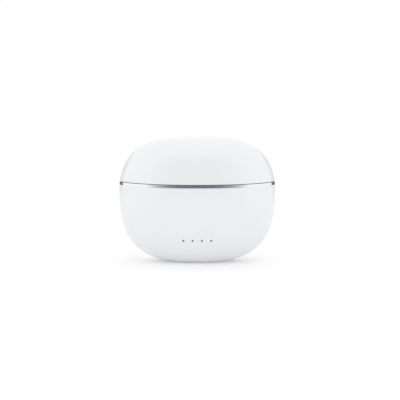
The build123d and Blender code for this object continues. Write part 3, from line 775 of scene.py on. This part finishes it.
@dataclass
class Tray:
    """The white insert of the base: deck, skirt and the two earbud wells."""

    form: Form
    outset: float = 1.5
    skirt: float = 1.0
    skirt_bottom: float = 25.4
    flat_inset: float = 6.0
    deck_round: float = 0.3
    pocket: tuple[float, float] = (8.6, 7.8)
    pocket_floor: float = 24.0
    pocket_power: float = 3.2
    wall: float = 1.0
    stem_x: float = 18.5
    stem_radius: float = 3.6
    stem_floor: float = 10.0
    stem_power: float = 6.0
    lip_round: float = 0.45
    notch: tuple[float, float] = (8.3, 8.9)
    button_hole: float = 1.75
    cups: tuple[float, float] = (11.0, 5.4)
    cup_radius: float = 2.6
    cup_top: float = 25.2
    magnet_hole: float = 1.95
    magnet_cut: tuple[float, float] = (20.0, 22.9)
    contact_cut: tuple[float, float] = (20.0, 26.0)
    button_cut: tuple[float, float] = (29.0, 31.5)
    contacts: tuple[float, float] = (9.6, 2.0)
    contact_hole: float = 0.92
    underside: float = 21.2

    def deck_rows(self) -> np.ndarray:
        """Section of deck and skirt, from the deck's middle out and back under it."""
        form = self.form
        deck_bottom = form.deck_top - form.deck_thickness
        inner = self.outset + self.skirt
        path = rounded(
            [
                (self.outset, self.skirt_bottom),
                (self.outset, form.deck_top),
                (self.flat_inset, form.deck_top),
            ],
            self.deck_round,
            closed=False,
        )
        back = np.array([(self.flat_inset, deck_bottom), (inner, deck_bottom), (inner, self.skirt_bottom)])
        above = inset_rows(form.half, path)
        below = inset_rows(form.half, back)
        middle_top = np.array([[0.0, 0.0, form.deck_top]])
        middle_bottom = np.array([[0.0, 0.0, deck_bottom]])
        return np.concatenate((middle_bottom, below, above, middle_top))

    def bowl(
        self, half: tuple[float, float], floor: float, power: float, x: float, flare: float
    ) -> bpy.types.Object:
        """Closed pebble from a floor up.

        Args:
            half: Half width and half depth at its top.
            floor: Level of its lowest point.
            power: Exponent of its profile.
            x: Where it is centred.
            flare: Radius of the lip that opens out to the deck's top. With none, the
                bowl ends inside the deck.

        Returns:
            The new object.
        """
        top = self.form.deck_top - (flare if flare > 0 else 0.5 * self.form.deck_thickness)
        rows = superellipse(half, top, floor, power, top, 40)[::-1]
        if flare > 0:
            turn = np.linspace(0, math.pi / 2, 7)[1:]
            out = flare * (1 - np.cos(turn))
            lip = np.column_stack((half[0] + out, half[1] + out, top + flare * np.sin(turn)))
            rows = np.concatenate((rows, lip, lip[-1:] + np.array([[0.0, 0.0, 1.0]])))
        end = np.array([[0.0, 0.0, rows[-1, 2]]])
        return turned("bowl", np.concatenate((rows, end)), (x, 0.0), 96)

    def plug(self, radius: float, low: float, high: float, centre: tuple[float, float]) -> bpy.types.Object:
        """Upright round plug between two levels."""
        path = np.array([(0.0, low), (radius, low), (radius, high), (0.0, high)])
        return turned("plug", round_rows(path), centre, 40)

    def build(self) -> None:
        """Add the wells to the deck, hollow them and cut the other openings."""
        tray = turned("inner_tray_moulding", self.deck_rows(), sides=224)
        sides = (-1, 1)
        corners = [(side, end) for side in sides for end in (-1, 1)]
        well_x, wall = self.form.well_x, self.wall
        outer = (self.pocket[0] + wall, self.pocket[1] + wall)
        thick = (self.stem_radius + wall, self.stem_radius + wall)
        slim = (self.stem_radius, self.stem_radius)
        floor, stem_floor = self.pocket_floor, self.stem_floor
        pocket_power, stem_power = self.pocket_power, self.stem_power
        added = (
            [self.bowl(outer, floor - wall, pocket_power, side * well_x, 0.0) for side in sides],
            [self.bowl(thick, stem_floor - wall, stem_power, side * self.stem_x, 0.0) for side in sides],
            [
                self.plug(self.cup_radius, self.underside, self.cup_top, (x * self.cups[0], y * self.cups[1]))
                for x, y in corners
            ],
        )
        for tools in added:
            work_in(tray, merged("added", tools), Joining.ADD)
        cut = (
            [self.bowl(self.pocket, floor, pocket_power, side * well_x, self.lip_round) for side in sides],
            [self.bowl(slim, stem_floor, stem_power, side * self.stem_x, 0.0) for side in sides],
            [
                self.plug(self.contact_hole, *self.contact_cut, (x * self.contacts[0], y * self.contacts[1]))
                for x, y in corners
            ]
            + [
                self.plug(self.magnet_hole, *self.magnet_cut, (x * self.cups[0], y * self.cups[1]))
                for x, y in corners
            ]
            + [self.plug(self.button_hole, *self.button_cut, (0.0, 0.0)), self.notch_tool()],
        )
        for tools in cut:
            work_in(tray, merged("cut", tools), Joining.CUT)
        finish_piece(tray, TRAY_WHITE, "base", "tray_white", "inner_tray")

    def notch_tool(self) -> bpy.types.Object:
        """Block that opens the back of the tray for the hinge."""
        low, high = self.skirt_bottom - 1.0, self.form.deck_top + 1.1
        return notch_block(*self.notch, low, high)


@dataclass
class Lid:
    """The upper shell and its liner, which turn on the hinge."""

    form: Form
    ledge: tuple[float, float] = (32.65, 33.65)
    notch_half: float = 10.0
    notch_levels: tuple[float, float] = (28.0, 34.5)
    notch_reach: tuple[float, float] = (8.6, 16.0)
    liner_notch: tuple[float, float] = (10.1, 10.2)
    liner_flat: float = 5.0
    liner_thickness: float = 1.0
    recess: tuple[float, float] = (8.4, 7.6)
    recess_height: float = 11.4
    recess_power: float = 2.5
    recess_wall: float = 0.9
    lip_round: float = 0.4

    def shell_rows(self) -> np.ndarray:
        """Levels from the lid's inner top, down inside, round the edge and up outside."""
        form = self.form
        inner_half = form.inner(form.lid_half, form.lid_wall)
        inner_pole = form.height - form.lid_wall
        edge = form.lid_edge
        inside = superellipse(inner_half, form.lid_centre, inner_pole, form.lid_power, edge + 0.15, 72)
        outside = superellipse(form.lid_half, form.lid_centre, form.height, form.lid_power, edge + 0.15, 96)
        outer_share = form.share(edge, form.lid_centre, form.height, form.lid_power)
        inner_share = form.share(edge, form.lid_centre, inner_pole, form.lid_power)
        corners = [
            (*inside[0],),
            (inner_half[0] * inner_share, inner_half[1] * inner_share, edge),
            (form.lid_half[0] * outer_share, form.lid_half[1] * outer_share, edge),
            (*outside[0],),
        ]
        low, high = self.ledge
        share = form.share(high, form.lid_centre, inner_pole, form.lid_power)
        ledge_half = (inner_half[0] * share - 1.0, inner_half[1] * share - 1.0)
        below = inside[inside[:, 2] < low]
        above = inside[inside[:, 2] > high]
        low_share = form.share(low, form.lid_centre, inner_pole, form.lid_power)
        shelf = np.array(
            [
                [inner_half[0] * low_share, inner_half[1] * low_share, low],
                [*ledge_half, low],
                [*ledge_half, high],
                [inner_half[0] * share, inner_half[1] * share, high],
            ]
        )
        walk = np.concatenate((below[1:], shelf, above))
        edge_rows = rounded(corners, 0.1, closed=False)
        return np.concatenate((walk[::-1], edge_rows, outside[1:]))

    def build(self) -> None:
        """Make the shell with its hinge opening, then the liner."""
        shell = turned("case_lid", self.shell_rows(), sides=288)
        half = self.notch_half
        low, high = self.notch_levels
        corners = rounded([(-half, low), (half, low), (half, high), (-half, high)], 0.7, closed=True)
        outline = np.column_stack((corners[:, 0], np.zeros(len(corners)), corners[:, 1]))
        near, far = (np.array([0.0, y, 0.0]) for y in self.notch_reach)
        work_in(shell, prism("hinge_cut", outline[::-1], near, far), Joining.CUT)
        finish_piece(shell, SHELL_WHITE, "lid", "shell_white", "lid_shell")
        self.build_liner()

    def build_liner(self) -> None:
        """Plate inside the lid's edge, with a hollow over each well."""
        form = self.form
        bottom = form.liner_bottom
        top = bottom + self.liner_thickness
        inner_half = form.inner(form.lid_half, form.lid_wall)
        share = form.share(top, form.lid_centre, form.height - form.lid_wall, form.lid_power)
        half = (inner_half[0] * share - 0.1, inner_half[1] * share - 0.1)
        path = rounded([(0.0, top), (0.0, bottom), (self.liner_flat, bottom)], 0.25, closed=False)
        rows = inset_rows(half, path)[::-1]
        pole_low = np.array([[0.0, 0.0, bottom]])
        pole_high = np.array([[0.0, 0.0, top]])
        liner = turned("lid_lining", np.concatenate((pole_low, rows, pole_high)), sides=224)
        domes = [self.hollow(side, self.recess_wall, 0.0) for side in (-1, 1)]
        work_in(liner, merged("domes", domes), Joining.ADD)
        notch = notch_block(*self.liner_notch, bottom - 1.0, top + 0.5)
        hollows = [self.hollow(side, 0.0, self.lip_round) for side in (-1, 1)]
        work_in(liner, merged("hollows", [*hollows, notch]), Joining.CUT)
        finish_piece(liner, TRAY_WHITE, "lid", "tray_white", "lid_liner")

    def hollow(self, side: int, wall: float, flare: float) -> bpy.types.Object:
        """Dome over a well.

        Args:
            side: Minus one for left, one for right.
            wall: What it is larger by than the hollow.
            flare: Radius of the lip that opens out to the liner's underside. With none,
                the dome starts inside the plate.

        Returns:
            The new object.
        """
        bottom = self.form.liner_bottom
        start = bottom + (flare if flare > 0 else 0.5 * self.liner_thickness)
        half = (self.recess[0] + wall, self.recess[1] + wall)
        pole = bottom + self.recess_height + wall
        rows = superellipse(half, start, pole, self.recess_power, start, 40)
        if flare > 0:
            turn = np.linspace(math.pi / 2, 0, 7)[:-1]
            out = flare * (1 - np.cos(turn))
            lip = np.column_stack((half[0] + out, half[1] + out, start - flare * np.sin(turn)))
            rows = np.concatenate((lip[:1] - np.array([[0.0, 0.0, 1.0]]), lip, rows))
        low = np.array([[0.0, 0.0, rows[0, 2]]])
        return turned("hollow", np.concatenate((low, rows)), (side * self.form.well_x, 0.0), 96)


@dataclass
class Contacts:
    """The sprung charging pins in the wells."""

    form: Form
    x: float = 9.6
    y: float = 2.0
    bottom: float = 21.2
    top: float = 24.6
    radius: float = 0.9
    bore: float = 0.65
    end: float = 0.3
    tip_radius: float = 0.42
    tip_hole: float = 0.47
    tail_radius: float = 0.6
    tail: tuple[float, float] = (23.0, 24.25)
    tip_top: float = 25.6
    travel: float = 0.8
    turns: float = 4.0
    coil_radius: float = 0.46
    wire: float = 0.06

    def build(self) -> None:
        """Make barrel, plunger and spring at each of the four places."""
        for side, x in (("left", -self.x), ("right", self.x)):
            for end, y in (("front", -self.y), ("back", self.y)):
                place = f"{side}_{end}"
                self.barrel(place, (x, y))
                self.plunger(place, (x, y))
                self.spring(place, (x, y))

    def barrel(self, place: str, centre: tuple[float, float]) -> None:
        """Closed tube with a rolled lip."""
        path = rounded(
            [
                (self.radius, self.bottom),
                (self.radius, self.top),
                (self.tip_hole, self.top),
                (self.tip_hole, self.top - self.end),
                (self.bore, self.top - self.end),
                (self.bore, self.bottom + self.end),
            ],
            0.1,
            closed=False,
        )
        ends = np.array([(0.0, self.bottom)]), np.array([(0.0, self.bottom + self.end)])
        rows = round_rows(np.concatenate((ends[0], path, ends[1])))
        piece = turned(f"pin_barrel_{place}", rows, centre, 48)
        finish_piece(piece, GOLD, "base", "contact_gold", f"contact_barrel_{place}")

    def plunger(self, place: str, centre: tuple[float, float]) -> None:
        """Pin with a wide tail and a domed tip."""
        low, high = self.tail
        path = rounded(
            [
                (0.0, low),
                (self.tail_radius, low),
                (self.tail_radius, high),
                (self.tip_radius, high),
                (self.tip_radius, self.tip_top),
                (0.0, self.tip_top),
            ],
            0.34,
            closed=False,
        )
        path[:, 0] = np.maximum(path[:, 0], 0.0)
        piece = turned(f"pin_plunger_{place}", round_rows(path), centre, 48)
        finish_piece(piece, GOLD, f"plunger_{place}", "contact_gold", f"contact_plunger_{place}")

    def spring(self, place: str, centre: tuple[float, float]) -> None:
        """Coil from the barrel's floor up to the plunger's tail; it stays still when the plunger moves.

        Its centre line is (r cos t, r sin t, z), with z rising evenly with t.
        """
        low = self.bottom + self.end + self.wire
        high = self.tail[0] - self.wire
        turn = np.linspace(0, 2 * math.pi * self.turns, int(28 * self.turns))
        path = np.column_stack(
            (
                centre[0] + self.coil_radius * np.cos(turn),
                centre[1] + self.coil_radius * np.sin(turn),
                np.linspace(low, high, len(turn)),
            )
        )
        piece = tube(f"pin_spring_{place}", path, self.wire)
        finish_piece(piece, SPRING, "base", "spring_steel", f"contact_spring_{place}")
        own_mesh(piece)


@dataclass
class Button:
    """The pairing button between the wells."""

    radius: float = 1.6
    flange_radius: float = 2.2
    levels: tuple[float, float, float] = (29.1, 29.6, 31.0)
    dish: float = 0.12

    def build(self) -> None:
        """Turn the button, with a shallow dish in its top."""
        low, shoulder, top = self.levels
        side = rounded(
            [
                (0.0, low),
                (self.flange_radius, low),
                (self.flange_radius, shoulder),
                (self.radius, shoulder),
                (self.radius, top),
                (self.radius * 0.7, top),
            ],
            0.12,
            closed=False,
        )
        share = np.linspace(0.7, 0.0, 10)[1:]
        dish = np.column_stack((self.radius * share, top - self.dish * (1 - (share / 0.7) ** 2)))
        piece = turned("pairing_button", round_rows(np.concatenate((side, dish))), (0.0, 0.0), 72)
        finish_piece(piece, BUTTON_WHITE, "pair_button", "button_white", "pair_button")


@dataclass
class CarriedOver:
    """CAD nodes whose shape stays and that only need their finish."""

    finishes: dict[str, Finish] = field(
        default_factory=lambda: {
            "rim_gasket": RUBBER,
            "main_board": BOARD,
            "board_chips": CHIP,
            "flex_plugs": PLUG,
            "board_screws": SCREW,
            "usb_shell": SOCKET,
            "usb_tongue": CHIP,
            "usb_contacts": GOLD,
            "charge_leds": LED,
            "light_guide": GUIDE,
            "battery_frame": FRAME_GREY,
            "battery_tape": TAPE,
            "battery_cell": FOIL,
            "battery_leads": LEAD_RED,
            "battery_plug": PLUG,
            "contact_board_left": BOARD,
            "contact_board_right": BOARD,
            "contact_flex_left": FLEX,
            "contact_flex_right": FLEX,
            "deck_flex": FLEX,
            "latch_magnet_base": NICKEL,
            "latch_magnet_lid": NICKEL,
            "sensor_magnet": NICKEL,
            "deck_board": BOARD,
            "hall_sensor": CHIP,
            "tact_switch": FRAME_GREY,
            "deck_board_screws": SCREW,
            "hinge_base_bracket": HINGE,
            "hinge_base_screws": SCREW,
            "hinge_lid_bracket": HINGE,
            "hinge_lid_screws": SCREW,
            "hinge_pin": HINGE,
        }
    )

    def build(self) -> None:
        """Dress every carried-over node."""
        for node, finish in self.finishes.items():
            dress(node, finish)
        for node in sorted(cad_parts):
            if node.startswith("bud_magnet"):
                dress(node, NICKEL)


# ------------------------------------------------------------------ studio
@dataclass
class Studio:
    """Pale floor, soft light and the camera."""

    elevation: float = 8.0
    frame_width: float = 154.3
    lens: float = 280.0
    sensor: float = 36.0
    aim: tuple[float, float, float] = (1.06, 0.0, 23.75)
    world: float = 1.1
    floor_size: float = 3000.0
    floor_tone: float = 0.75
    floor_glow: float = 0.2
    lamp_watts: float = 0.06
    lamp_size: float = 0.35
    lamp_place: tuple[float, float, float] = (420.0, 30.0, 200.0)
    lamp_turn: float = 70.0
    card_distance: float = 200.0
    card_tint: tuple[float, float, float] = (0.86, 0.95, 1.05)

    def build(self) -> None:
        """Set up floor, lights, reflection cards and camera."""
        self.build_world()
        self.build_floor()
        self.build_cards()
        self.build_lights()
        self.build_camera()
        bpy.context.scene.view_settings.view_transform = "Standard"

    def build_world(self) -> None:
        """Even white light from all round."""
        world = bpy.data.worlds.new("studio_white")
        world.use_nodes = True
        background = world.node_tree.nodes["Background"]
        background.inputs["Color"].default_value = (1.0, 1.0, 1.0, 1.0)
        background.inputs["Strength"].default_value = self.world
        bpy.context.scene.world = world

    def build_floor(self) -> None:
        """Wide pale floor."""
        size = self.floor_size
        corners = np.array([(-size, -size, 0), (size, -size, 0), (size, size, 0), (-size, size, 0)], float)
        floor = new_piece("studio_floor", corners, [[0, 1, 2, 3]])
        graph = Graph("studio_floor")
        graph.surface.inputs["Base Color"].default_value = (self.floor_tone,) * 3 + (1.0,)
        graph.surface.inputs["Emission Color"].default_value = (1.0, 1.0, 1.0, 1.0)
        graph.surface.inputs["Emission Strength"].default_value = self.floor_glow
        graph.surface.inputs["Roughness"].default_value = 1.0
        graph.surface.inputs["Specular IOR Level"].default_value = 0.0
        floor.data.materials.append(graph.material)

    def card(
        self, name: str, azimuths: tuple[float, float], levels: tuple[float, float], tone: float, fade: float
    ) -> None:
        """Curved card round the object, which only reflections see.

        Its points are (r sin a, -r cos a, z) for a between the azimuths, where r is the
        cards' distance.

        Args:
            name: The card's name.
            azimuths: Where it starts and ends, in degrees from the front.
            levels: Its lower and upper edge, in mm.
            tone: How bright it is.
            fade: Distance along X, in mm, at which it has faded to white as the cube
                of that distance, or none.
        """
        count = 24
        angle = np.radians(np.linspace(*azimuths, count))
        ring = np.column_stack((np.sin(angle), -np.cos(angle))) * self.card_distance
        low = np.column_stack((ring, np.full(count, levels[0])))
        high = np.column_stack((ring, np.full(count, levels[1])))
        faces = [[i, i + 1, count + i + 1, count + i] for i in range(count - 1)]
        card = new_piece(name, np.concatenate((low, high)), faces)
        graph = Graph(name)
        surface = graph.surface.inputs
        colour = tuple(tone * part for part in self.card_tint)
        surface["Base Color"].default_value = (0.0, 0.0, 0.0, 1.0)
        surface["Specular IOR Level"].default_value = 0.0
        surface["Emission Color"].default_value = (*colour, 1.0)
        surface["Emission Strength"].default_value = 1.0
        if fade > 0:
            share = abs(graph.along_x() * (1 / (fade * MM))) ** 3
            graph.feed(surface["Emission Color"], graph.mix(share, colour, (self.world,) * 3))
        card.data.materials.append(graph.material)
        card.visible_camera = False
        card.visible_diffuse = False
        card.visible_shadow = False
        card.visible_transmission = False

    def build_cards(self) -> None:
        """Card in front, so that the band reads dark there, and one for each end."""
        self.card("front_card", (-46.0, 46.0), (0.5, 190.0), 0.13, 145.0)
        self.card("left_card", (-150.0, -106.0), (0.5, 120.0), 0.2, 0.0)
        self.card("right_card", (106.0, 150.0), (0.5, 120.0), 0.2, 0.0)

    def build_lights(self) -> None:
        """Large soft lamps at both sides."""
        x, y, z = self.lamp_place
        for name, side in (("left_lamp", -1), ("right_lamp", 1)):
            lamp = bpy.data.lights.new(name, "AREA")
            lamp.energy = self.lamp_watts
            lamp.size = self.lamp_size
            lamp_object = bpy.data.objects.new(name, lamp)
            lamp_object.location = (side * x * MM, y * MM, z * MM)
            lamp_object.rotation_euler = (0.0, math.radians(side * self.lamp_turn), 0.0)
            bpy.context.scene.collection.objects.link(lamp_object)

    def build_camera(self) -> None:
        """Long lens from slightly above the front."""
        camera = bpy.data.cameras.new("camera")
        camera.lens = self.lens
        camera.sensor_width = self.sensor
        camera.clip_end = 20.0
        eye = bpy.data.objects.new("camera", camera)
        distance = self.frame_width * self.lens / self.sensor
        tilt = math.radians(self.elevation)
        back = np.array([0.0, -math.cos(tilt), math.sin(tilt)]) * distance
        eye.location = tuple((np.array(self.aim) + back) * MM)
        eye.rotation_euler = (math.pi / 2 - tilt, 0.0, 0.0)
        bpy.context.scene.collection.objects.link(eye)
        bpy.context.scene.camera = eye


def main() -> None:
    """Build the studio, then each sub-assembly in order."""
    logging.basicConfig(level=logging.INFO, format="%(name)s %(message)s")
    form = Form()
    Studio().build()
    BaseShell(form).build()
    SeamRing(form).build()
    Tray(form).build()
    Contacts(form).build()
    Button().build()
    Lid(form).build()
    CarriedOver().build()


if __name__ == "__main__":
    main()
